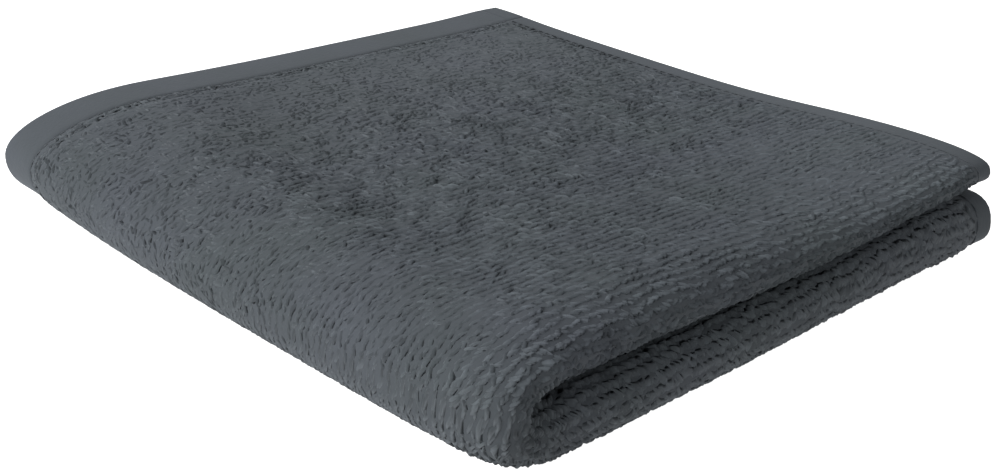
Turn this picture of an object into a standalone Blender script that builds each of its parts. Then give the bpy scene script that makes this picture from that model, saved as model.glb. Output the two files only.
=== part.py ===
"""A folded washcloth: one hemmed square of terry towelling, folded in half and in half again.

The cloth is a flat sheet first, with u across the first fold and v across the second one. The
outer layers have u below 0, and the upper layers have v above 0.
Every point of it is then carried round both folds. The first fold runs along Y on the +X side,
as two rolls with a dark gap between them. The second fold runs along X on the -Y side and wraps
round both pairs of layers. The hemmed edges lie open on the -X and +Y sides.
"""

import math

import bmesh
import bpy
import numpy as np

# The cloth laid flat, in metres
SIDE = 0.300
PILE_THICK = 0.0050
HEM_THICK = 0.0022
WIDE_HEM = 0.0125
NARROW_HEM = 0.0070
WIDE_HEM_RISE = 0.0040
NARROW_HEM_RISE = 0.0030
HEM_BELOW_PILE = 0.0006

# The folded cloth, seen from above
FOLDED_X = 0.1500
FOLDED_Y = 0.1468
LAYER_GAP = 0.0005
PAIR_GAP = 0.0010

# How far the rolled edge of each pair reaches from its straight layers to its outermost point,
# for its outer layer and for its inner one, and how blunt it is: 2 is an ellipse, more is squarer
ROLL_REACH_OUTER = 0.0129
ROLL_REACH_INNER = 0.0070
ROLL_BLUNT = 2.64

# The same for the second fold: at its left and right ends, for the upper pair and for the lower one
FOLD_REACH_UPPER = (0.0374, 0.0202)
FOLD_REACH_LOWER = (0.0189, 0.0186)
FOLD_BLUNT = 2.13
TURN_STEPS = 181

PAIR_THICK = 2 * PILE_THICK + LAYER_GAP
STACK_HIGH = 2 * PAIR_THICK + PAIR_GAP
LAYER_OFF = (PILE_THICK + LAYER_GAP) / 2
PAIR_OFF = (PAIR_THICK + PAIR_GAP) / 2

# Steps of the mesh: from, to, number of steps, along u and along v
STEPS_U = (
    (-0.1500, -0.1375, 2),
    (-0.1375, -0.1335, 2),
    (-0.1335, -0.0135, 9),
    (-0.0135, 0.0000, 8),
    (0.0000, 0.0075, 6),
    (0.0075, 0.1335, 9),
    (0.1335, 0.1375, 2),
    (0.1375, 0.1500, 2),
)
STEPS_V = (
    (-0.1500, -0.1430, 1),
    (-0.1430, -0.1400, 1),
    (-0.1400, -0.0240, 10),
    (-0.0240, 0.0000, 11),
    (0.0000, 0.0240, 10),
    (0.0240, 0.0440, 5),
    (0.0440, 0.1400, 8),
    (0.1400, 0.1430, 1),
    (0.1430, 0.1500, 1),
)

# Soft ridges and troughs of the whole stack, each along a line seen from above:
# name, line's start x and y, line's end x and y, half width, rise of the top
RIDGES = (
    ("left corner stands plump", -0.075, -0.075, -0.070, -0.060, 0.040, 0.0017),
    ("back corner lies low", -0.075, 0.075, -0.070, 0.060, 0.040, -0.0004),
    ("back corner's tip lifts", -0.076, 0.076, -0.074, 0.074, 0.014, 0.0006),
    ("back edge sags", -0.022, 0.080, -0.004, 0.070, 0.045, -0.0007),
    ("roll's back end stands up", 0.050, 0.080, 0.060, 0.060, 0.030, 0.0024),
    ("front corner is pressed", 0.065, -0.060, 0.070, -0.055, 0.030, -0.0006),
    ("trough behind the fold", -0.040, -0.027, 0.045, -0.049, 0.011, -0.0009),
    ("crown before the trough", -0.035, -0.046, 0.045, -0.063, 0.011, 0.0004),
    ("ridge across the middle", -0.012, -0.015, -0.014, 0.045, 0.012, 0.0003),
    ("trough beside the hem", -0.053, -0.020, -0.053, 0.050, 0.008, -0.0003),
)

# Where the lower layers stand off the surface: name, x, y, spread, rise of the underside
LIFTS = (
    ("right corner lifts", 0.075, 0.060, 0.030, 0.0010),
)

# Where the gap between the two pairs lies higher: name, x, y, spread, rise
GAP_RISES = (
    ("lower roll is the thicker one", 0.075, 0.055, 0.050, 0.0041),
)

# Where the upper pair stands off the lower one: name, x, y, spread, opening
GAP_OPENINGS = (
    ("mouth between the rolls", 0.075, -0.045, 0.055, 0.0036),
)

# Where the layers are pushed sideways: name, x, y, spread, height share it acts on, push x, push y
PUSHES = (
    ("lower roll stands out at the back", 0.075, 0.075, 0.040, 0.0, 0.0012, 0.0),
    ("lower roll's end slips back", 0.075, 0.075, 0.018, 0.0, 0.0002, 0.0029),
    ("upper roll stands out near the back", 0.075, 0.075, 0.040, 1.0, 0.0022, 0.0),
    ("upper roll's end draws in", 0.075, 0.075, 0.018, 1.0, -0.0036, 0.0),
    ("front corner draws in", 0.075, -0.075, 0.020, 0.5, 0.0, 0.0019),
    ("left corner draws in", -0.075, -0.075, 0.030, 0.0, 0.0, 0.0017),
    ("left corner's nose slips out", -0.075, -0.075, 0.020, 0.5, -0.0010, 0.0007),
    ("back corner is blunt", -0.076, 0.076, 0.007, 0.7, 0.0019, -0.0013),
    ("second fold bows out", 0.000, -0.075, 0.045, 0.5, 0.0, -0.0006),
    ("inner hems stick out", 0.000, 0.075, 0.070, 0.5, 0.0, 0.0011),
)

CLOTH_COLOUR = (0.080, 0.091, 0.103, 1.0)
CLOTH_ROUGHNESS = 0.95


def smooth(share):
    """An even ramp from 0 to 1."""
    share = np.clip(share, 0.0, 1.0)
    return share * share * (3.0 - 2.0 * share)


def bell(x, y, middle_x, middle_y, spread):
    """A soft round hill of height 1, seen from above."""
    return np.exp(-((x - middle_x) ** 2 + (y - middle_y) ** 2) / spread**2)


def ridge(x, y, start, end, half_width):
    """A soft ridge of height 1 along a straight line, seen from above."""
    line_x, line_y = end[0] - start[0], end[1] - start[1]
    along = ((x - start[0]) * line_x + (y - start[1]) * line_y) / (line_x**2 + line_y**2)
    along = np.clip(along, 0.0, 1.0)
    return bell(x, y, start[0] + along * line_x, start[1] + along * line_y, half_width)


def face_off(u, v, face):
    """How far a face lies off the pile's middle. The hems are thinner, and nearer the outside."""
    from_wide_edge = SIDE / 2 - np.abs(u)
    from_narrow_edge = SIDE / 2 - np.abs(v)
    pile = smooth((from_wide_edge - WIDE_HEM) / WIDE_HEM_RISE)
    pile = pile * smooth((from_narrow_edge - NARROW_HEM) / NARROW_HEM_RISE)
    thick = HEM_THICK + (PILE_THICK - HEM_THICK) * pile
    middle = ((PILE_THICK - HEM_THICK) / 2 - HEM_BELOW_PILE) * (1.0 - pile)
    return middle + face * thick / 2


def blunt_turn(share, reach, half_high, bluntness):
    """How far forward and how far up a quarter turn has come, each from 0 to 1, at a share of its length."""
    angles = np.linspace(0.0, math.pi / 2, TURN_STEPS)
    forward = np.cos(angles) ** (2 / bluntness)
    upward = np.sin(angles) ** (2 / bluntness)
    steps = np.hypot(reach * np.diff(forward), half_high * np.diff(upward))
    lengths = np.concatenate([[0.0], np.cumsum(steps)]) / steps.sum()
    return np.interp(share, lengths, forward), np.interp(share, lengths, upward)


def first_fold(u, off):
    """X, and the distance from the pair's middle, of a point that lies off the cloth's middle."""
    forward = 0.0
    sideways = 0.0
    reach = np.where(u < 0, ROLL_REACH_OUTER, ROLL_REACH_INNER)
    share = np.clip(np.abs(u) / reach, 0.0, 1.0)
    for layer_reach in (ROLL_REACH_OUTER, ROLL_REACH_INNER):
        layer_forward, layer_sideways = blunt_turn(share, layer_reach, PAIR_THICK / 2, ROLL_BLUNT)
        forward = np.where(reach == layer_reach, layer_forward, forward)
        sideways = np.where(reach == layer_reach, layer_sideways, sideways)
    straight = np.clip(np.abs(u) - reach, 0.0, None)
    x = FOLDED_X / 2 - reach + (reach - PILE_THICK / 2 + off) * forward - straight
    return x, -np.sign(u) * (LAYER_OFF + off) * sideways


def second_fold(v, x, off_pair):
    """Y and Z of a point that lies off the middle of its pair of layers."""
    across = np.clip(x / FOLDED_X + 0.5, 0.0, 1.0)
    y = 0.0
    z = 0.0
    for side, (left_reach, right_reach) in ((1.0, FOLD_REACH_UPPER), (-1.0, FOLD_REACH_LOWER)):
        reach = left_reach + (right_reach - left_reach) * across
        turn_length = SIDE / 2 - FOLDED_Y + reach
        share = np.clip(np.abs(v) / turn_length, 0.0, 1.0)
        left_forward, left_upward = blunt_turn(share, left_reach, STACK_HIGH / 2, FOLD_BLUNT)
        right_forward, right_upward = blunt_turn(share, right_reach, STACK_HIGH / 2, FOLD_BLUNT)
        forward = left_forward + (right_forward - left_forward) * across
        upward = left_upward + (right_upward - left_upward) * across
        straight = np.clip(np.abs(v) - turn_length, 0.0, None)
        side_y = -FOLDED_Y / 2 + reach - (reach - PAIR_THICK / 2 + off_pair) * forward + straight
        side_z = STACK_HIGH / 2 + side * (PAIR_OFF + off_pair) * upward
        y = np.where(v * side >= 0, side_y, y)
        z = np.where(v * side >= 0, side_z, z)
    return y, z


def uneven(x, y, z):
    """The plump, sagging, open and slipped places of a cloth folded by hand."""
    height = z / STACK_HIGH
    for _, middle_x, middle_y, spread, rise in LIFTS:
        z = z + (1.0 - np.clip(height, 0.0, 1.0)) * rise * bell(x, y, middle_x, middle_y, spread)
    for _, middle_x, middle_y, spread, rise in GAP_RISES:
        z = z + 4.0 * height * (1.0 - height) * rise * bell(x, y, middle_x, middle_y, spread)
    for _, middle_x, middle_y, spread, opening in GAP_OPENINGS:
        upper = smooth((height - 0.43) / 0.14)
        z = z + opening * upper * bell(x, y, middle_x, middle_y, spread)
    for _, start_x, start_y, end_x, end_y, half_width, rise in RIDGES:
        z = z + height * rise * ridge(x, y, (start_x, start_y), (end_x, end_y), half_width)
    for _, middle_x, middle_y, spread, share, push_x, push_y in PUSHES:
        weight = (1.0 - np.abs(np.clip(height, 0.0, 1.0) - share)) * bell(x, y, middle_x, middle_y, spread)
        x = x + push_x * weight
        y = y + push_y * weight
    return x, y, z


def folded(u, v, face):
    """Where a point of the flat cloth lies once it is folded. Its face is 1 outside, -1 inside."""
    x, off_pair = first_fold(u, face_off(u, v, face))
    y, z = second_fold(v, x, off_pair)
    return np.stack(uneven(x, y, z), axis=-1)


def centred(places):
    """The same places, with their box's middle over the origin and their lowest point at Z 0."""
    low = places.min(axis=0)
    high = places.max(axis=0)
    return places - np.array([(low[0] + high[0]) / 2, (low[1] + high[1]) / 2, low[2]])


def mesh_lines(steps):
    """The places of the mesh's lines along one side of the flat cloth."""
    lines = [steps[0][0]]
    for start, end, count in steps:
        lines += [start + (end - start) * (step + 1) / count for step in range(count)]
    return np.array(lines)


def flat_slab(bm, columns, rows):
    """A closed slab of unit size, with a grid of faces above and below."""
    bmesh.ops.create_grid(bm, x_segments=columns, y_segments=rows, size=0.5)
    bmesh.ops.solidify(bm, geom=bm.faces[:], thickness=1.0)
    heights = [vert.co.z for vert in bm.verts]
    middle = (min(heights) + max(heights)) / 2
    bmesh.ops.translate(bm, vec=(0.5, 0.5, -middle), verts=bm.verts)
    bmesh.ops.recalc_face_normals(bm, faces=bm.faces)


def make_washcloth():
    """The whole cloth as one closed solid."""
    lines_u = mesh_lines(STEPS_U)
    lines_v = mesh_lines(STEPS_V)
    columns = len(lines_u) - 1
    rows = len(lines_v) - 1
    bm = bmesh.new()
    flat_slab(bm, columns, rows)
    slab = np.array([vert.co for vert in bm.verts])
    u = lines_u[np.rint(slab[:, 0] * columns).astype(int)]
    v = lines_v[np.rint(slab[:, 1] * rows).astype(int)]
    for vert, place in zip(bm.verts, centred(folded(u, v, np.sign(slab[:, 2])))):
        vert.co = place
    mesh = bpy.data.meshes.new("washcloth")
    bm.to_mesh(mesh)
    bm.free()
    mesh.shade_smooth()
    cloth = bpy.data.objects.new("washcloth", mesh)
    bpy.context.scene.collection.objects.link(cloth)
    return cloth


def terry_material():
    """Slate grey cotton towelling."""
    material = bpy.data.materials.new("terry")
    material.use_nodes = True
    surface = material.node_tree.nodes["Principled BSDF"]
    surface.inputs["Base Color"].default_value = CLOTH_COLOUR
    surface.inputs["Roughness"].default_value = CLOTH_ROUGHNESS
    surface.inputs["Metallic"].default_value = 0.0
    return material


def main():
    for item in list(bpy.data.objects):
        bpy.data.objects.remove(item)
    cloth = make_washcloth()
    cloth.data.materials.append(terry_material())


main()
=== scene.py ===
"""Looks of the folded washcloth: the woven ground, the sewn hems, the looped pile, the light and the camera.

The cloth is worked out flat first, with u across the first fold and v across the second one. The outer
layers have u below 0, and the upper layers have v above 0. Every point is then carried round both folds.
"""

import math

import bmesh
import bpy
import numpy as np
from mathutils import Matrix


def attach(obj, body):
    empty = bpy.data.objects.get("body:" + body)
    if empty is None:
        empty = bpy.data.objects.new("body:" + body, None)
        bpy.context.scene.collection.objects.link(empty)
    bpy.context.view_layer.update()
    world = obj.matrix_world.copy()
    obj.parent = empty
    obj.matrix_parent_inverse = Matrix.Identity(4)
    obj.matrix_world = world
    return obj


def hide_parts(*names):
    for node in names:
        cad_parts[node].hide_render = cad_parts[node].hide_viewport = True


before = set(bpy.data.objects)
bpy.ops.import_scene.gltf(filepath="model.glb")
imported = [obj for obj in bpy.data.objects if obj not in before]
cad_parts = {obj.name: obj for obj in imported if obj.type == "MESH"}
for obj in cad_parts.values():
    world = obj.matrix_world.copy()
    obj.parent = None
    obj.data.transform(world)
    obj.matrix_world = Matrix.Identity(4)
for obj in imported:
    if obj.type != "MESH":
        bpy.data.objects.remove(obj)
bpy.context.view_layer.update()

# The cloth laid flat, in metres
SIDE = 0.300
PILE_THICK = 0.0050
HEM_THICK = 0.0022
WIDE_HEM = 0.0125
NARROW_HEM = 0.0070
WIDE_HEM_RISE = 0.0040
NARROW_HEM_RISE = 0.0030
HEM_BELOW_PILE = 0.0006

# The folded cloth, seen from above
FOLDED_X = 0.1500
FOLDED_Y = 0.1468
LAYER_GAP = 0.0005
PAIR_GAP = 0.0010

# How far the rolled edge of each pair reaches from its straight layers to its outermost point,
# for its outer layer and for its inner one, and how blunt it is: 2 is an ellipse, more is squarer
ROLL_REACH_OUTER = 0.0129
ROLL_REACH_INNER = 0.0070
ROLL_BLUNT = 2.64

# The same for the second fold: at its left and right ends, for the upper pair and for the lower one
FOLD_REACH_UPPER = (0.0374, 0.0202)
FOLD_REACH_LOWER = (0.0189, 0.0186)
FOLD_BLUNT = 2.13
TURN_STEPS = 181

PAIR_THICK = 2 * PILE_THICK + LAYER_GAP
STACK_HIGH = 2 * PAIR_THICK + PAIR_GAP
LAYER_OFF = (PILE_THICK + LAYER_GAP) / 2
PAIR_OFF = (PAIR_THICK + PAIR_GAP) / 2

# Soft ridges and troughs of the whole stack, each along a line seen from above:
# name, line's start x and y, line's end x and y, half width, rise of the top
RIDGES = (
    ("left corner stands plump", -0.075, -0.075, -0.070, -0.060, 0.040, 0.0017),
    ("back corner lies low", -0.075, 0.075, -0.070, 0.060, 0.040, -0.0004),
    ("back corner's tip lifts", -0.076, 0.076, -0.074, 0.074, 0.014, 0.0006),
    ("back edge sags", -0.022, 0.080, -0.004, 0.070, 0.045, -0.0007),
    ("roll's back end stands up", 0.050, 0.080, 0.060, 0.060, 0.030, 0.0024),
    ("front corner is pressed", 0.065, -0.060, 0.070, -0.055, 0.030, -0.0006),
    ("trough behind the fold", -0.040, -0.027, 0.045, -0.049, 0.011, -0.0009),
    ("crown before the trough", -0.035, -0.046, 0.045, -0.063, 0.011, 0.0004),
    ("ridge across the middle", -0.012, -0.015, -0.014, 0.045, 0.012, 0.0003),
    ("trough beside the hem", -0.053, -0.020, -0.053, 0.050, 0.008, -0.0003),
)

# Where the lower layers stand off the surface: name, x, y, spread, rise of the underside
LIFTS = (
    ("right corner lifts", 0.075, 0.060, 0.030, 0.0010),
)

# Where the gap between the two pairs lies higher: name, x, y, spread, rise
GAP_RISES = (
    ("lower roll is the thicker one", 0.075, 0.055, 0.050, 0.0041),
)

# Where the upper pair stands off the lower one: name, x, y, spread, opening
GAP_OPENINGS = (
    ("mouth between the rolls", 0.075, -0.045, 0.055, 0.0036),
)

# Where in the stack's height the upper pair starts, as a ramp from 0 at the bottom to 1 at the top
UPPER_PAIR_RAMP = (0.43, 0.14)

# Where the layers are pushed sideways: name, x, y, spread, height share it acts on, push x, push y
PUSHES = (
    ("lower roll stands out at the back", 0.075, 0.075, 0.040, 0.0, 0.0012, 0.0),
    ("lower roll's end slips back", 0.075, 0.075, 0.018, 0.0, 0.0002, 0.0029),
    ("upper roll stands out near the back", 0.075, 0.075, 0.040, 1.0, 0.0022, 0.0),
    ("upper roll's end draws in", 0.075, 0.075, 0.018, 1.0, -0.0036, 0.0),
    ("front corner draws in", 0.075, -0.075, 0.020, 0.5, 0.0, 0.0019),
    ("left corner draws in", -0.075, -0.075, 0.030, 0.0, 0.0, 0.0017),
    ("left corner's nose slips out", -0.075, -0.075, 0.020, 0.5, -0.0010, 0.0007),
    ("back corner is blunt", -0.076, 0.076, 0.007, 0.7, 0.0019, -0.0013),
    ("second fold bows out", 0.000, -0.075, 0.045, 0.5, 0.0, -0.0006),
    ("inner hems stick out", 0.000, 0.075, 0.070, 0.5, 0.0, 0.0011),
)

# The rows of loops, which run along v, and how far a row's loops are shifted along it
ROW_PITCH = 0.0017
LOOP_PITCH = 0.0009
ROW_SHIFT = 0.37
SHIFT_STEP = 7
SHIFT_CYCLE = 5
FIRST_ROW_IN = 0.0010
LAST_LOOP_IN = 0.0006
FIRST_ROW_U = -SIDE / 2 + WIDE_HEM + FIRST_ROW_IN
LAST_ROW_U = 0.0130
ROLL_ROW_U = -0.0160
LAST_LOOP_V = SIDE / 2 - NARROW_HEM - LAST_LOOP_IN

# One length of yarn: its rise, half its length, its section, how deep its feet lie and how blunt its arch is
LOOP_HIGH = 0.00050
LOOP_HALF_LONG = 0.00105
YARN_HALF_WIDE = 0.00080
YARN_HALF_HIGH = 0.00026
YARN_SIDES = 3
FOOT_DEPTH = 0.00015
ARCH_POWER = 0.8
LEAN_POWER = 1.5

# The ground between the loops, and how far it fills their height by the wide hem and by the rolls
GROUND_OFF = PILE_THICK / 2 - LOOP_HIGH
FILL_BY_HEM = 0.00040
FILL_BY_ROLL = 0.00011

# How far the yarn's shading follows the cloth's, by the wide hem and by the rolls, and how its tones differ
FUZZ_BY_HEM = 0.72
FUZZ_BY_ROLL = 0.30
TONE_SPREAD = 0.22

# Shares of the pile: its height where matted, what ribs add, what flanks and edges take, and its painted
# light and shade
MATTED_STANDS = 0.45
RIBS_ADD = 0.60
FLANK_TAKES = 0.45
EDGE_TAKES = 0.55
FOLD_MATS = 0.80
LOWER_MATS = 0.5
NEAT_DISORDER = 0.25
# Painted light and shade: the pile's colour is darker by the wide hem and lighter in the ribs
PAINTED_LIGHTNESS_BY_HEM = 0.88
PAINTED_LIGHT_FROM_RIBS = 0.26

# How the lengths of yarn differ, in radians, shares or metres. A pair is everywhere, and more where tousled
TURN_MIDDLE = 0.36
TURN_SPREAD = (0.14, 0.55)
TURN_DRIFT = 0.6
SIZE_SPREAD = 0.12
TOP_SPREAD = 0.14
TOP_DRIFT = 0.12
FOOT_U_SPREAD = (0.00010, 0.00018)
FOOT_U_DRIFT = 0.00025
FOOT_V_SPREAD = 0.00020
LEAN_U_SPREAD = (0.00012, 0.00025)
LEAN_V_SPREAD = 0.00016
LEAN_DRIFT = 0.0002
LEAN_ON_ROLL = 0.0004
LEAN_ON_FOLD = 0.00015
SWIRL_MIDDLE = 0.00012
SWIRL_SPREAD = 0.00008
CURL_SPREAD = (0.00012, 0.00022)

# The waves that wander over the cloth: how many, and their lengths from and to
PATCH_WAVES = 9
PATCH_LENGTHS = (0.006, 0.022)

# Ramps over the flat cloth, each by where it starts and how long it is
TOUSLED_RAMP = (0.030, 0.075)
RIBS_RAMP = (-0.128, 0.070)
RIBS_BY_ROLL_RAMP = (-0.020, 0.016)
MATTED_FOLD_RAMP = (0.012, 0.016)
LOWER_PILE_RAMP = (0.020, 0.020)
ROLL_RAMP = (-0.016, 0.012)
ROLL_FLANK_RAMP = (-0.004, 0.008)
FOLD_LEAN_RAMP = (0.012, 0.020)
LOOPS_END_RAMP = (LAST_ROW_U, 0.004)
NARROW_SEAM_RAMP = (-0.060, 0.030)

# The hems' sewing: a line of stitches in a shallow groove, just outside the pile
SEAM_FROM_PILE = 0.0009
SEAM_HALF_WIDE = 0.0005
SEAM_DEEP = 0.00015
SEAM_U = SIDE / 2 - WIDE_HEM + SEAM_FROM_PILE
SEAM_V = SIDE / 2 - NARROW_HEM + SEAM_FROM_PILE
NARROW_SEAM_SHARE = 0.4
STITCH_PITCH = 0.0024
STITCH_HALF_LONG = 0.0011
STITCH_HALF_WIDE = 0.00026
STITCH_HALF_HIGH = 0.00014
STITCH_HIGH = 0.00022
STITCH_TURN_SPREAD = 0.10
STITCH_STEPS = 4
STITCH_SIDES = 4
STITCH_SEED = 31

# How far the hems' outer edges are rounded off, short of a point
EDGE_ROUNDING = 0.98

# Places where light or shade is painted on the pile: name, u, v, spread, change
PAINTED_LIGHT_AND_SHADE_PLACES = (
    ("painted shade of a trough beside the wide hem", -0.118, 0.062, 0.026, -0.19),
    ("painted light on the lower roll inside the mouth", -0.002, -0.052, 0.034, 0.30),
    ("painted light on the top behind the first fold", -0.070, 0.066, 0.024, 0.06),
)

# Patches of pile, each its own piece: name, u from, u to, v from, v to, steps of a loop, seed
PILE_PATCHES = (
    ("pile_top_back", FIRST_ROW_U, LAST_ROW_U, 0.0950, LAST_LOOP_V, 5, 21),
    ("pile_top_front", FIRST_ROW_U, LAST_ROW_U, 0.0470, 0.0950, 5, 22),
    ("pile_fold_upper", FIRST_ROW_U, LAST_ROW_U, 0.0000, 0.0470, 5, 23),
    ("pile_fold_lower", FIRST_ROW_U, LAST_ROW_U, -0.0300, 0.0000, 5, 24),
    ("pile_lower_roll", ROLL_ROW_U, LAST_ROW_U, -LAST_LOOP_V, -0.0300, 5, 25),
    ("pile_underside", FIRST_ROW_U, ROLL_ROW_U, -LAST_LOOP_V, -0.0300, 3, 26),
)

# The camera: its place round the cloth in degrees, and its lens as pixels of a frame 1000 wide
FRAME_WIDE = 1000
CAMERA_AZIMUTH = 44.73
CAMERA_ELEVATION = 22.45
CAMERA_ROLL = 2.79
CAMERA_DISTANCE = 0.3502
CAMERA_AIM_HIGH = 0.010
FOCAL_PIXELS = 1654.4
CENTRE_RIGHT = -8.6
CENTRE_DOWN = -41.4
SENSOR = 36.0


def smooth(share):
    """An even ramp from 0 to 1."""
    share = np.clip(share, 0.0, 1.0)
    return share * share * (3.0 - 2.0 * share)


def past(place, ramp):
    """0 before a ramp starts, 1 past its end."""
    start, length = ramp
    return smooth((place - start) / length)


def bell(x, y, middle_x, middle_y, spread):
    """A soft round hill of height 1, seen from above."""
    return np.exp(-((x - middle_x) ** 2 + (y - middle_y) ** 2) / spread**2)


def ridge(x, y, start, end, half_width):
    """A soft ridge of height 1 along a straight line, seen from above."""
    line_x, line_y = end[0] - start[0], end[1] - start[1]
    along = ((x - start[0]) * line_x + (y - start[1]) * line_y) / (line_x**2 + line_y**2)
    along = np.clip(along, 0.0, 1.0)
    return bell(x, y, start[0] + along * line_x, start[1] + along * line_y, half_width)


def pile_share(u, v):
    """0 on the flat hems, 1 where the pile stands full."""
    from_wide_edge = SIDE / 2 - np.abs(u)
    from_narrow_edge = SIDE / 2 - np.abs(v)
    across_wide = smooth((from_wide_edge - WIDE_HEM) / WIDE_HEM_RISE)
    return across_wide * smooth((from_narrow_edge - NARROW_HEM) / NARROW_HEM_RISE)


def blunt_turn(share, reach, half_high, bluntness):
    """How far forward and how far up a quarter turn has come, each from 0 to 1, at a share of its length."""
    angles = np.linspace(0.0, math.pi / 2, TURN_STEPS)
    forward = np.cos(angles) ** (2 / bluntness)
    upward = np.sin(angles) ** (2 / bluntness)
    steps = np.hypot(reach * np.diff(forward), half_high * np.diff(upward))
    lengths = np.concatenate([[0.0], np.cumsum(steps)]) / steps.sum()
    return np.interp(share, lengths, forward), np.interp(share, lengths, upward)


def first_fold(u, off):
    """X, and the distance from the pair's middle, of a point that lies off the cloth's middle."""
    forward = 0.0
    sideways = 0.0
    reach = np.where(u < 0, ROLL_REACH_OUTER, ROLL_REACH_INNER)
    share = np.clip(np.abs(u) / reach, 0.0, 1.0)
    for layer_reach in (ROLL_REACH_OUTER, ROLL_REACH_INNER):
        layer_forward, layer_sideways = blunt_turn(share, layer_reach, PAIR_THICK / 2, ROLL_BLUNT)
        forward = np.where(reach == layer_reach, layer_forward, forward)
        sideways = np.where(reach == layer_reach, layer_sideways, sideways)
    straight = np.clip(np.abs(u) - reach, 0.0, None)
    x = FOLDED_X / 2 - reach + (reach - PILE_THICK / 2 + off) * forward - straight
    return x, -np.sign(u) * (LAYER_OFF + off) * sideways


def second_fold(v, x, off_pair):
    """Y and Z of a point that lies off the middle of its pair of layers."""
    across = np.clip(x / FOLDED_X + 0.5, 0.0, 1.0)
    y = 0.0
    z = 0.0
    for side, (left_reach, right_reach) in ((1.0, FOLD_REACH_UPPER), (-1.0, FOLD_REACH_LOWER)):
        reach = left_reach + (right_reach - left_reach) * across
        turn_length = SIDE / 2 - FOLDED_Y + reach
        share = np.clip(np.abs(v) / turn_length, 0.0, 1.0)
        left_forward, left_upward = blunt_turn(share, left_reach, STACK_HIGH / 2, FOLD_BLUNT)
        right_forward, right_upward = blunt_turn(share, right_reach, STACK_HIGH / 2, FOLD_BLUNT)
        forward = left_forward + (right_forward - left_forward) * across
        upward = left_upward + (right_upward - left_upward) * across
        straight = np.clip(np.abs(v) - turn_length, 0.0, None)
        side_y = -FOLDED_Y / 2 + reach - (reach - PAIR_THICK / 2 + off_pair) * forward + straight
        side_z = STACK_HIGH / 2 + side * (PAIR_OFF + off_pair) * upward
        y = np.where(v * side >= 0, side_y, y)
        z = np.where(v * side >= 0, side_z, z)
    return y, z


def uneven(x, y, z):
    """The plump, sagging, open and slipped places of a cloth folded by hand."""
    height = z / STACK_HIGH
    for _, middle_x, middle_y, spread, rise in LIFTS:
        z = z + (1.0 - np.clip(height, 0.0, 1.0)) * rise * bell(x, y, middle_x, middle_y, spread)
    for _, middle_x, middle_y, spread, rise in GAP_RISES:
        z = z + 4.0 * height * (1.0 - height) * rise * bell(x, y, middle_x, middle_y, spread)
    for _, middle_x, middle_y, spread, opening in GAP_OPENINGS:
        upper = past(height, UPPER_PAIR_RAMP)
        z = z + opening * upper * bell(x, y, middle_x, middle_y, spread)
    for _, start_x, start_y, end_x, end_y, half_width, rise in RIDGES:
        z = z + height * rise * ridge(x, y, (start_x, start_y), (end_x, end_y), half_width)
    for _, middle_x, middle_y, spread, share, push_x, push_y in PUSHES:
        weight = (1.0 - np.abs(np.clip(height, 0.0, 1.0) - share)) * bell(x, y, middle_x, middle_y, spread)
        x = x + push_x * weight
        y = y + push_y * weight
    return x, y, z


def folded(u, v, off):
    """Where a point lies once the cloth is folded. off is its height over the cloth's middle, outwards."""
    x, off_pair = first_fold(u, off)
    y, z = second_fold(v, x, off_pair)
    return np.stack(uneven(x, y, z), axis=-1) - BOX_MIDDLE


# Steps of the ground's mesh: from, to, number of steps, along u and along v
STEPS_U = (
    (-0.1500, -0.1480, 6),
    (-0.1480, -0.1380, 5),
    (-0.1380, -0.1330, 8),
    (-0.1330, -0.0150, 40),
    (-0.0150, 0.0150, 30),
    (0.0150, 0.1330, 24),
    (0.1330, 0.1380, 8),
    (0.1380, 0.1480, 5),
    (0.1480, 0.1500, 6),
)
STEPS_V = (
    (-0.1500, -0.1480, 6),
    (-0.1480, -0.1440, 3),
    (-0.1440, -0.1395, 7),
    (-0.1395, -0.0500, 20),
    (-0.0500, 0.0500, 50),
    (0.0500, 0.1395, 26),
    (0.1395, 0.1440, 7),
    (0.1440, 0.1480, 3),
    (0.1480, 0.1500, 6),
)

# Besides those, the ground has lines round the second fold, from minus to plus this v and this far apart
FOLD_LINES_TO = 0.0350
FOLD_LINES_APART = 0.0010


def mesh_lines(steps):
    """The places of the mesh's lines along one side of the flat cloth."""
    lines = [steps[0][0]]
    for start, end, count in steps:
        lines += [start + (end - start) * (step + 1) / count for step in range(count)]
    return np.array(lines)


def part_face_off(u, v, face):
    """The part's own faces, which the scene's pieces are set out from."""
    pile = pile_share(u, v)
    thick = HEM_THICK + (PILE_THICK - HEM_THICK) * pile
    middle = ((PILE_THICK - HEM_THICK) / 2 - HEM_BELOW_PILE) * (1.0 - pile)
    return middle + face * thick / 2


def box_middle():
    """How far the folds' own numbers lie from the middle of the part's box."""
    part_u = np.concatenate([mesh_lines(STEPS_U), [-SIDE / 2 + WIDE_HEM]])
    grid_u, grid_v = np.meshgrid(part_u, mesh_lines(STEPS_V), indexing="ij")
    places = []
    for face in (-1.0, 1.0):
        places.append(folded(grid_u, grid_v, part_face_off(grid_u, grid_v, face)).reshape(-1, 3))
    places = np.concatenate(places)
    low = places.min(axis=0)
    high = places.max(axis=0)
    return np.array([(low[0] + high[0]) / 2, (low[1] + high[1]) / 2, low[2]])


BOX_MIDDLE = np.zeros(3)
BOX_MIDDLE = box_middle()


def new_piece(name, mesh, material):
    """A finished piece that rides with the cloth's one body."""
    piece = bpy.data.objects.new(name, mesh)
    bpy.context.scene.collection.objects.link(piece)
    mesh.materials.append(material)
    mesh.shade_smooth()
    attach(piece, "root")
    return piece


# The ground and its hems


def seam_share(u, v):
    """1 along the middle of the wide hems' seams, less along the narrow ones', 0 away from them."""
    wide = 1.0 - smooth(np.abs(np.abs(u) - SEAM_U) / SEAM_HALF_WIDE)
    narrow = 1.0 - smooth(np.abs(np.abs(v) - SEAM_V) / SEAM_HALF_WIDE)
    before_roll = 1.0 - past(u, NARROW_SEAM_RAMP)
    return np.maximum(wide, NARROW_SEAM_SHARE * narrow * before_roll)


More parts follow.
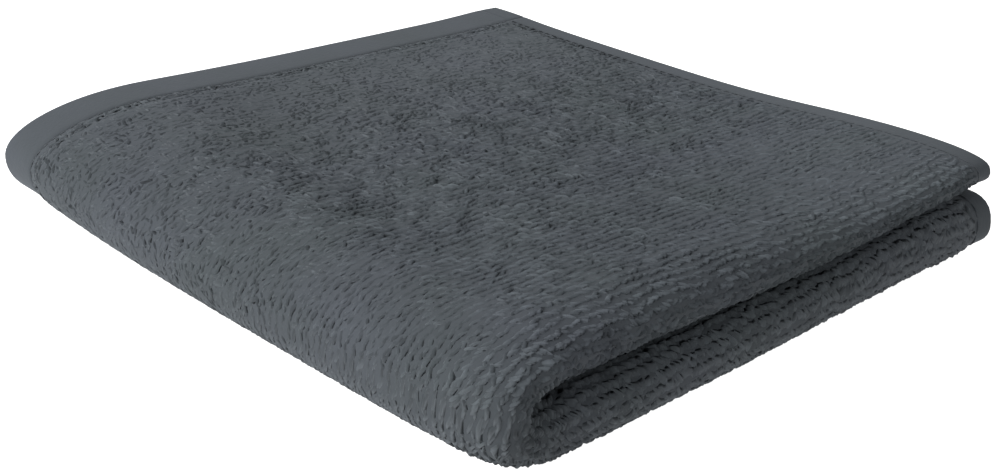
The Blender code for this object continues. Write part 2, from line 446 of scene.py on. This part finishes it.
def with_seam_lines(lines, seam):
    """The mesh's lines along one side, with more of them across each seam's groove."""
    across = np.array([-1.0, -0.5, 0.0, 0.5, 1.0]) * SEAM_HALF_WIDE
    return np.unique(np.round(np.concatenate([lines, seam + across, -seam - across]), 7))


def ground_off(u, v, face):
    """The woven ground's faces: low under the loops, at the loops' tips where no loops are made."""
    pile = pile_share(u, v)
    fill = FILL_BY_HEM + (FILL_BY_ROLL - FILL_BY_HEM) * ribbing(u, v)
    looped = 1.0 - past(u, LOOPS_END_RAMP)
    outer = PILE_THICK / 2 - (PILE_THICK / 2 - GROUND_OFF - fill) * looped
    full = np.where(face > 0, outer, -PILE_THICK / 2)
    hem_middle = (PILE_THICK - HEM_THICK) / 2 - HEM_BELOW_PILE
    hem = hem_middle + face * (HEM_THICK / 2 - SEAM_DEEP * seam_share(u, v))
    from_edge = np.minimum(SIDE / 2 - np.abs(u), SIDE / 2 - np.abs(v))
    rounding = np.clip(1.0 - from_edge / (HEM_THICK / 2), 0.0, EDGE_ROUNDING)
    hem = hem_middle + (hem - hem_middle) * np.sqrt(1.0 - rounding**2)
    return hem + (full - hem) * pile


def flat_slab(bm, columns, rows):
    """A closed slab of unit size, with a grid of faces above and below."""
    bmesh.ops.create_grid(bm, x_segments=columns, y_segments=rows, size=0.5)
    bmesh.ops.solidify(bm, geom=bm.faces[:], thickness=1.0)
    heights = [vert.co.z for vert in bm.verts]
    middle = (min(heights) + max(heights)) / 2
    bmesh.ops.translate(bm, vec=(0.5, 0.5, -middle), verts=bm.verts)
    bmesh.ops.recalc_face_normals(bm, faces=bm.faces)


def make_ground(material):
    """The woven ground with its turned hems, one closed sheet."""
    lines_u = with_seam_lines(mesh_lines(STEPS_U), SEAM_U)
    fold_lines = np.arange(-FOLD_LINES_TO, FOLD_LINES_TO, FOLD_LINES_APART)
    lines_v = with_seam_lines(np.concatenate([mesh_lines(STEPS_V), fold_lines]), SEAM_V)
    columns = len(lines_u) - 1
    rows = len(lines_v) - 1
    bm = bmesh.new()
    flat_slab(bm, columns, rows)
    slab = np.array([vert.co for vert in bm.verts])
    u = lines_u[np.rint(slab[:, 0] * columns).astype(int)]
    v = lines_v[np.rint(slab[:, 1] * rows).astype(int)]
    face = np.sign(slab[:, 2])
    mesh = bpy.data.meshes.new("ground")
    bm.to_mesh(mesh)
    bm.free()
    places = folded(u, v, ground_off(u, v, face))
    mesh.vertices.foreach_set("co", places.astype(np.float32).ravel())
    # How far each point lies in a seam's groove, which the material uses as the mask of its painted shade
    seam = mesh.attributes.new("seam", "FLOAT", "POINT")
    seam.data.foreach_set("value", seam_share(u, v).astype(np.float32))
    mesh.update()
    return new_piece("ground", mesh, material)


# The pile


def loop_template(steps, sides):
    """A tube with capped ends: its faces, and each point's step along it and angle round it."""
    bm = bmesh.new()
    ring = bmesh.ops.create_circle(bm, segments=sides, radius=1.0, cap_ends=True)["verts"]
    edges = [edge for edge in bm.edges if all(vert in ring for vert in edge.verts)]
    for _ in range(steps):
        grown = bmesh.ops.extrude_edge_only(bm, edges=edges)["geom"]
        verts = [item for item in grown if isinstance(item, bmesh.types.BMVert)]
        edges = [item for item in grown if isinstance(item, bmesh.types.BMEdge)]
        bmesh.ops.translate(bm, vec=(0.0, 0.0, 1.0), verts=verts)
    bmesh.ops.contextual_create(bm, geom=edges)
    bmesh.ops.recalc_face_normals(bm, faces=bm.faces)
    points = np.array([vert.co for vert in bm.verts])
    faces = [[vert.index for vert in face.verts] for face in bm.faces]
    bm.free()
    return faces, np.rint(points[:, 2]).astype(int), np.arctan2(points[:, 1], points[:, 0])


def patchy(u, v, seed):
    """A smooth field between about -1 and 1 that wanders over a centimetre or so."""
    rng = np.random.default_rng(seed)
    total = np.zeros_like(u)
    for _ in range(PATCH_WAVES):
        wave = 2 * math.pi / rng.uniform(*PATCH_LENGTHS)
        heading = rng.uniform(0.0, 2 * math.pi)
        start = rng.uniform(0.0, 2 * math.pi)
        total += np.sin(wave * (u * math.cos(heading) + v * math.sin(heading)) + start)
    return total / math.sqrt(PATCH_WAVES)


def loop_places(u_from, u_to, v_from, v_to):
    """The feet of a patch's loops on the flat cloth, in rows along v, each row shifted."""
    first_row = math.ceil((u_from - FIRST_ROW_U) / ROW_PITCH)
    end_row = math.ceil((u_to - FIRST_ROW_U) / ROW_PITCH)
    rows = np.arange(first_row, end_row)
    steps = np.arange(math.ceil(v_from / LOOP_PITCH), math.ceil(v_to / LOOP_PITCH))
    row, step = np.meshgrid(rows, steps, indexing="ij")
    u = FIRST_ROW_U + row.ravel() * ROW_PITCH
    v = (step.ravel() + ROW_SHIFT * (row.ravel() * SHIFT_STEP % SHIFT_CYCLE)) * LOOP_PITCH
    inside = np.abs(v) < LAST_LOOP_V
    return u[inside], v[inside]


def disorder(u):
    """How unruly the loops are: neat rows near the rolls, tousled near the wide hem."""
    return NEAT_DISORDER + (1.0 - NEAT_DISORDER) * past(-u, TOUSLED_RAMP)


def ribbing(u, v):
    """0 in the low matted pile by the wide hem and round the second fold, 1 where the pile stands in ribs."""
    on_fold = 1.0 - past(np.abs(v), MATTED_FOLD_RAMP)
    matted = FOLD_MATS * on_fold * (1.0 - past(u, RIBS_BY_ROLL_RAMP))
    lower = LOWER_MATS * past(-v, LOWER_PILE_RAMP)
    return past(u, RIBS_RAMP) * (1.0 - matted) * (1.0 - lower)


def standing(u, v):
    """How far the pile stands up: 1 in the ribs, less where it is matted."""
    return MATTED_STANDS + (1.0 - MATTED_STANDS) * ribbing(u, v)


def yarn_relief(u, v):
    """How high the yarn's section is: low by the wide hem, ribbed towards the rolls, flat on their flanks."""
    ribs = 1.0 + RIBS_ADD * ribbing(u, v)
    flank = 1.0 - FLANK_TAKES * past(u, ROLL_FLANK_RAMP)
    return standing(u, v) * ribs * flank


def tousled(rng, spread, wild):
    """A random value for each length of yarn, which spreads further where the loops are wild."""
    everywhere, more = spread
    steady = rng.normal(0.0, everywhere, len(wild))
    return steady + rng.normal(0.0, more, len(wild)) * wild


def across_yarn(turn):
    """The direction across each length of yarn, which puts the ridge of its section outwards."""
    return np.stack([-np.cos(turn), np.sin(turn), np.zeros(len(turn))], axis=-1)


def arched(u, v, steps, turn, size, lean_u, lean_v, swirl, curl):
    """Each length's line seen from above, which curls aside and leans at its top, and its rise."""
    share = np.linspace(0.0, 1.0, steps + 1)[None, :]
    rise = np.sin(math.pi * share)
    along = -np.cos(math.pi * share) * LOOP_HALF_LONG * size[:, None]
    side = np.sin(2.0 * math.pi * share) * swirl[:, None] + rise * curl[:, None]
    sin_turn = np.sin(turn)[:, None]
    cos_turn = np.cos(turn)[:, None]
    line_u = u[:, None] + along * sin_turn + side * cos_turn + lean_u[:, None] * rise**LEAN_POWER
    line_v = v[:, None] + along * cos_turn - side * sin_turn + lean_v[:, None] * rise**LEAN_POWER
    return line_u, line_v, rise


def loop_lines(u, v, steps, rng):
    """The middle line of every loop on the flat cloth: u, v and height over the cloth's middle."""
    count = len(u)
    wild = disorder(u)
    on_roll = past(u, ROLL_RAMP)
    on_fold = 1.0 - past(np.abs(v), FOLD_LEAN_RAMP)
    turn = TURN_MIDDLE + rng.normal(0.0, 1.0, count) * (TURN_SPREAD[0] + TURN_SPREAD[1] * wild)
    turn = turn + TURN_DRIFT * patchy(u, v, 11) * wild
    size = 1.0 + rng.normal(0.0, SIZE_SPREAD, count)
    relief = yarn_relief(u, v)
    stands = standing(u, v)
    bend = (LOOP_HIGH + FOOT_DEPTH) * stands
    unlike = rng.normal(0.0, TOP_SPREAD, count) + TOP_DRIFT * patchy(u, v, 12)
    top = PILE_THICK / 2 + LOOP_HIGH * stands**2 * unlike
    top = top - EDGE_TAKES * LOOP_HIGH * (1.0 - pile_share(u, v))
    u = u + tousled(rng, FOOT_U_SPREAD, wild)
    u = u + FOOT_U_DRIFT * patchy(u, v, 15)
    v = v + rng.normal(0.0, FOOT_V_SPREAD, count)
    lean_u = tousled(rng, LEAN_U_SPREAD, wild)
    lean_u = lean_u + LEAN_DRIFT * patchy(u, v, 13) * wild + LEAN_ON_ROLL * on_roll * np.sign(v)
    lean_v = rng.normal(0.0, LEAN_V_SPREAD, count)
    lean_v = lean_v + LEAN_DRIFT * patchy(u, v, 14) * wild - LEAN_ON_FOLD * on_fold
    swirl = rng.normal(SWIRL_MIDDLE, SWIRL_SPREAD, count)
    curl = tousled(rng, CURL_SPREAD, wild)
    line_u, line_v, rise = arched(u, v, steps, turn, size, lean_u, lean_v, swirl, curl)
    line_off = (top - YARN_HALF_HIGH * relief)[:, None] - bend[:, None] * (1.0 - rise**ARCH_POWER)
    return np.stack([line_u, line_v, line_off], axis=-1), across_yarn(turn), size, relief


def cloth_normals(u, v):
    """The outward direction of the cloth's outer face at each place."""
    step = 0.0002
    off = PILE_THICK / 2
    along_u = folded(u + step, v, off) - folded(u - step, v, off)
    along_v = folded(u, v + step, off) - folded(u, v - step, off)
    normals = np.cross(along_u, along_v)
    return normals / np.linalg.norm(normals, axis=-1, keepdims=True)


def soften_normals(mesh, cloth, fuzz):
    """Turns the yarn's shading part of the way to the cloth's, as fuzz does."""
    own = np.empty(len(mesh.vertices) * 3, np.float32)
    mesh.vertex_normals.foreach_get("vector", own)
    mixed = own.reshape(-1, 3) * (1.0 - fuzz) + cloth * fuzz
    mixed /= np.linalg.norm(mixed, axis=-1, keepdims=True)
    mesh.normals_split_custom_set_from_vertices(mixed.tolist())


def painted_lightness(u, v):
    """How light the pile's colour is painted, near 1: darker by the wide hem, lighter in the ribs, and
    lighter or darker in the listed places.
    """
    share = PAINTED_LIGHTNESS_BY_HEM + PAINTED_LIGHT_FROM_RIBS * ribbing(u, v)
    for _, middle_u, middle_v, spread, change in PAINTED_LIGHT_AND_SHADE_PLACES:
        share = share + change * bell(u, v, middle_u, middle_v, spread)
    return share


def make_strands(name, u, v, strands, half_wide, half_high, sides, rng, material):
    """Many short lengths of yarn or thread, as one joined mesh."""
    lines, across, size, relief = strands
    faces, rings, angles = loop_template(lines.shape[1] - 1, sides)
    upright = np.cross(np.gradient(lines, axis=1), across[:, None, :])
    upright /= np.linalg.norm(upright, axis=-1, keepdims=True)
    wide = half_wide * np.cos(angles)[None, :, None] * size[:, None, None]
    tall = half_high * np.sin(angles)[None, :, None] * (size * relief)[:, None, None]
    points = lines[:, rings, :] + wide * across[:, None, :] + tall * upright[:, rings, :]
    places = folded(points[..., 0], points[..., 1], points[..., 2])
    count, corners = places.shape[:2]
    all_faces = []
    for first in range(0, count * corners, corners):
        all_faces += [[first + corner for corner in face] for face in faces]
    mesh = bpy.data.meshes.new(name)
    mesh.from_pydata(places.reshape(-1, 3).tolist(), [], all_faces)
    mesh.update()
    fuzz = FUZZ_BY_HEM + (FUZZ_BY_ROLL - FUZZ_BY_HEM) * ribbing(u, v)
    cloth = np.repeat(cloth_normals(u, v), corners, axis=0)
    soften_normals(mesh, cloth, np.repeat(fuzz, corners)[:, None])
    tone = mesh.attributes.new("tone", "FLOAT", "POINT")
    # Each loop's random tone, times the painted light and shade of its place
    tone_with_painted_light = rng.uniform(1.0 - TONE_SPREAD, 1.0 + TONE_SPREAD, count) * painted_lightness(u, v)
    tone.data.foreach_set("value", np.repeat(tone_with_painted_light, corners).astype(np.float32))
    return new_piece(name, mesh, material)


def make_pile(name, u_from, u_to, v_from, v_to, steps, seed, material):
    """One patch of looped pile."""
    rng = np.random.default_rng(seed)
    u, v = loop_places(u_from, u_to, v_from, v_to)
    strands = loop_lines(u, v, steps, rng)
    return make_strands(name, u, v, strands, YARN_HALF_WIDE, YARN_HALF_HIGH, YARN_SIDES, rng, material)


def stitch_places():
    """The middles of the stitches on the flat cloth, and whether each one's seam runs along v."""
    count = int(2 * SEAM_V / STITCH_PITCH)
    along = (np.arange(count) + 0.5 - count / 2) * STITCH_PITCH
    places = []
    for side in (-1.0, 1.0):
        places += [(side * SEAM_U, place, True) for place in along if abs(place) < SEAM_V]
        places += [(place, side * SEAM_V, False) for place in along if abs(place) < SEAM_U]
    u, v, runs_along_v = zip(*places)
    return np.array(u), np.array(v), np.array(runs_along_v)


def make_stitches(material):
    """The sewing of the hems: one line of stitches along each."""
    rng = np.random.default_rng(STITCH_SEED)
    u, v, runs_along_v = stitch_places()
    turn = np.where(runs_along_v, 0.0, math.pi / 2) + rng.normal(0.0, STITCH_TURN_SPREAD, len(u))
    share = np.linspace(0.0, 1.0, STITCH_STEPS + 1)[None, :]
    along = -np.cos(math.pi * share) * STITCH_HALF_LONG
    line_u = u[:, None] + along * np.sin(turn)[:, None]
    line_v = v[:, None] + along * np.cos(turn)[:, None]
    groove = ground_off(u, v, np.ones(len(u)))[:, None]
    line_off = groove - STITCH_HALF_HIGH + STITCH_HIGH * np.sin(math.pi * share)
    even = np.ones(len(u))
    strands = (np.stack([line_u, line_v, line_off], axis=-1), across_yarn(turn), even, even)
    half_wide, half_high = STITCH_HALF_WIDE, STITCH_HALF_HIGH
    return make_strands("stitches", u, v, strands, half_wide, half_high, STITCH_SIDES, rng, material)


# Colours, each with an alpha of 1
COTTON = (0.080, 0.091, 0.103, 1.0)
YARN_BLUISH = (0.0815, 0.0915, 0.1055, 1.0)
YARN_GREENISH = (0.0780, 0.0910, 0.0985, 1.0)
WEAVE_BLUISH = (0.0935, 0.1045, 0.1205, 1.0)
WEAVE_GREENISH = (0.0830, 0.0950, 0.1040, 1.0)
# Painted shade: the weave's colour in the seams' shallow grooves
PAINTED_SHADE_IN_SEAM = (0.058, 0.067, 0.075, 1.0)
THREAD = (0.074, 0.084, 0.095, 1.0)
SHEEN_TINT = (0.6, 0.66, 0.72, 1.0)
WHITE = (1.0, 1.0, 1.0, 1.0)
FLOOR_PALE = (0.95, 0.95, 0.95, 1.0)

# Clouds in the materials: scale, lowest value, highest value
HUE_CLOUDS = (45.0, 0.0, 1.0)
YARN_WIDE_CLOUDS = (90.0, 0.95, 1.05)
YARN_SMALL_CLOUDS = (330.0, 0.89, 1.11)
WEAVE_CLOUDS = (260.0, 0.98, 1.02)
WEAVE_GRAIN = (1400.0, 0.0, 1.0)


# Materials


def fabric_material(name, colour, roughness):
    """A matt cotton with a soft sheen, and its nodes to build on."""
    material = bpy.data.materials.new(name)
    material.use_nodes = True
    nodes = material.node_tree.nodes
    surface = nodes["Principled BSDF"]
    surface.inputs["Base Color"].default_value = colour
    surface.inputs["Roughness"].default_value = roughness
    surface.inputs["Specular IOR Level"].default_value = 0.15
    surface.inputs["Sheen Weight"].default_value = 0.25
    surface.inputs["Sheen Roughness"].default_value = 0.5
    surface.inputs["Sheen Tint"].default_value = SHEEN_TINT
    return material, nodes, material.node_tree.links, surface


def mottle(nodes, links, scale, low, high):
    """A soft cloudy value from low to high, laid out in the object's own metres."""
    place = nodes.new("ShaderNodeTexCoord")
    clouds = nodes.new("ShaderNodeTexNoise")
    clouds.inputs["Scale"].default_value = scale
    clouds.inputs["Detail"].default_value = 2.0
    spread = nodes.new("ShaderNodeMapRange")
    spread.inputs["From Min"].default_value = 0.32
    spread.inputs["From Max"].default_value = 0.68
    spread.inputs["To Min"].default_value = low
    spread.inputs["To Max"].default_value = high
    links.new(place.outputs["Object"], clouds.inputs["Vector"])
    links.new(clouds.outputs["Fac"], spread.inputs["Value"])
    return spread.outputs["Result"]


def mixed_colour(nodes, links, factor, first, second):
    """A colour between two, which are plain colours or other nodes' outputs."""
    mix = nodes.new("ShaderNodeMix")
    mix.data_type = "RGBA"
    for name, colour in (("A", first), ("B", second)):
        socket = next(item for item in mix.inputs if item.name == name and item.type == "RGBA")
        if isinstance(colour, tuple):
            socket.default_value = colour
        else:
            links.new(colour, socket)
    links.new(factor, mix.inputs["Factor"])
    return next(item for item in mix.outputs if item.type == "RGBA")


def scaled_colour(nodes, links, colour, share):
    """A colour made lighter or darker by a value near 1."""
    scale = nodes.new("ShaderNodeVectorMath")
    scale.operation = "SCALE"
    links.new(colour, scale.inputs[0])
    links.new(share, scale.inputs["Scale"])
    return scale.outputs["Vector"]


def loop_material():
    """Looped cotton yarn in bluish and greenish greys, each loop a little lighter or darker at random, with
    painted light and shade by place.
    """
    material, nodes, links, surface = fabric_material("loop_yarn", COTTON, 0.95)
    tone = nodes.new("ShaderNodeAttribute")
    tone.attribute_name = "tone"
    hue = mottle(nodes, links, *HUE_CLOUDS)
    base = mixed_colour(nodes, links, hue, YARN_BLUISH, YARN_GREENISH)
    wide_clouds = scaled_colour(nodes, links, base, mottle(nodes, links, *YARN_WIDE_CLOUDS))
    clouds = scaled_colour(nodes, links, wide_clouds, mottle(nodes, links, *YARN_SMALL_CLOUDS))
    # The tone attribute carries each loop's random tone and its painted light and shade
    yarn = scaled_colour(nodes, links, clouds, tone.outputs["Fac"])
    links.new(yarn, surface.inputs["Base Color"])
    return material


def ground_material():
    """The flat weave of the ground and its hems, faintly mottled, with painted shade in the seams' shallow
    grooves.
    """
    material, nodes, links, surface = fabric_material("flat_weave", COTTON, 0.9)
    seam = nodes.new("ShaderNodeAttribute")
    seam.attribute_name = "seam"
    hue = mottle(nodes, links, *HUE_CLOUDS)
    base = mixed_colour(nodes, links, hue, WEAVE_BLUISH, WEAVE_GREENISH)
    # Painted shade in the seams' grooves, by the seam attribute
    seam_shaded = mixed_colour(nodes, links, seam.outputs["Fac"], base, PAINTED_SHADE_IN_SEAM)
    weave = scaled_colour(nodes, links, seam_shaded, mottle(nodes, links, *WEAVE_CLOUDS))
    links.new(weave, surface.inputs["Base Color"])
    bump = nodes.new("ShaderNodeBump")
    bump.inputs["Strength"].default_value = 0.3
    bump.inputs["Distance"].default_value = 0.0001
    links.new(mottle(nodes, links, *WEAVE_GRAIN), bump.inputs["Height"])
    links.new(bump.outputs["Normal"], surface.inputs["Normal"])
    return material


def stitch_material():
    """Dark sewing thread, all of one colour."""
    return fabric_material("thread", THREAD, 0.8)[0]


# Studio


# The floor: half its side, and how far it lies below the cloth
FLOOR_HALF = 3.0
FLOOR_BELOW = 0.0002


def make_floor():
    """A plain white floor that shines evenly and throws no light back on the cloth."""
    bm = bmesh.new()
    bmesh.ops.create_grid(bm, x_segments=1, y_segments=1, size=FLOOR_HALF)
    bmesh.ops.translate(bm, vec=(0.0, 0.0, -FLOOR_BELOW), verts=bm.verts)
    mesh = bpy.data.meshes.new("floor")
    bm.to_mesh(mesh)
    bm.free()
    floor = bpy.data.objects.new("floor", mesh)
    bpy.context.scene.collection.objects.link(floor)
    material = bpy.data.materials.new("floor_white")
    material.use_nodes = True
    surface = material.node_tree.nodes["Principled BSDF"]
    surface.inputs["Base Color"].default_value = FLOOR_PALE
    surface.inputs["Emission Color"].default_value = WHITE
    surface.inputs["Emission Strength"].default_value = 1.0
    surface.inputs["Roughness"].default_value = 0.9
    surface.inputs["Specular IOR Level"].default_value = 0.1
    mesh.materials.append(material)
    floor.visible_diffuse = False


def make_camera():
    """The camera at the photograph's angle."""
    azimuth = math.radians(CAMERA_AZIMUTH)
    elevation = math.radians(CAMERA_ELEVATION)
    roll = math.radians(CAMERA_ROLL)
    back = np.array([
        math.sin(azimuth) * math.cos(elevation),
        -math.cos(azimuth) * math.cos(elevation),
        math.sin(elevation),
    ])
    level_right = np.array([math.cos(azimuth), math.sin(azimuth), 0.0])
    level_up = np.cross(back, level_right)
    right = level_right * math.cos(roll) + level_up * math.sin(roll)
    up = level_up * math.cos(roll) - level_right * math.sin(roll)
    place = np.array([0.0, 0.0, CAMERA_AIM_HIGH]) + back * CAMERA_DISTANCE - BOX_MIDDLE
    data = bpy.data.cameras.new("camera")
    data.sensor_width = SENSOR
    data.lens = FOCAL_PIXELS / FRAME_WIDE * SENSOR
    data.shift_x = -CENTRE_RIGHT / FRAME_WIDE
    data.shift_y = CENTRE_DOWN / FRAME_WIDE
    data.clip_start = 0.01
    camera = bpy.data.objects.new("camera", data)
    matrix = np.eye(4)
    matrix[:3, 0], matrix[:3, 1], matrix[:3, 2], matrix[:3, 3] = right, up, back, place
    camera.matrix_world = matrix.T
    bpy.context.scene.collection.objects.link(camera)
    bpy.context.scene.camera = camera


# The lamps: name, place, size, power in watts
LAMPS = (
    ("front", (-0.25, -1.45, 0.30), 1.2, 17.5),
    ("left", (-1.45, -0.25, 0.40), 1.2, 8.0),
    ("front left", (-0.95, -0.95, 0.95), 1.4, 6.0),
    ("front right", (0.95, -1.15, 0.25), 1.2, 3.2),
)
ROOM_LIGHT = 0.29


def make_light(name, place, size, power):
    """A soft square lamp that faces the cloth."""
    data = bpy.data.lights.new(name, "AREA")
    data.shape = "SQUARE"
    data.size = size
    data.energy = power
    lamp = bpy.data.objects.new(name, data)
    lamp.location = place
    distance = math.hypot(*place)
    lean = math.acos(place[2] / distance)
    lamp.rotation_euler = (lean, 0.0, math.atan2(place[1], place[0]) + math.pi / 2)
    bpy.context.scene.collection.objects.link(lamp)


def make_studio():
    """Soft light, mostly from the side of the second fold, in a bright white room."""
    for name, place, size, power in LAMPS:
        make_light(name, place, size, power)
    world = bpy.data.worlds.new("studio")
    world.use_nodes = True
    room = world.node_tree.nodes["Background"]
    room.inputs["Color"].default_value = WHITE
    room.inputs["Strength"].default_value = ROOM_LIGHT
    bpy.context.scene.world = world
    bpy.context.scene.view_settings.view_transform = "Standard"


def main():
    """The studio, then the cloth's pieces, which all stand for the part's one node."""
    make_floor()
    make_camera()
    make_studio()
    ground = make_ground(ground_material())
    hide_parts("washcloth")
    yarn = loop_material()
    on_ground = [make_pile(*patch, yarn) for patch in PILE_PATCHES]
    on_ground.append(make_stitches(stitch_material()))


main()
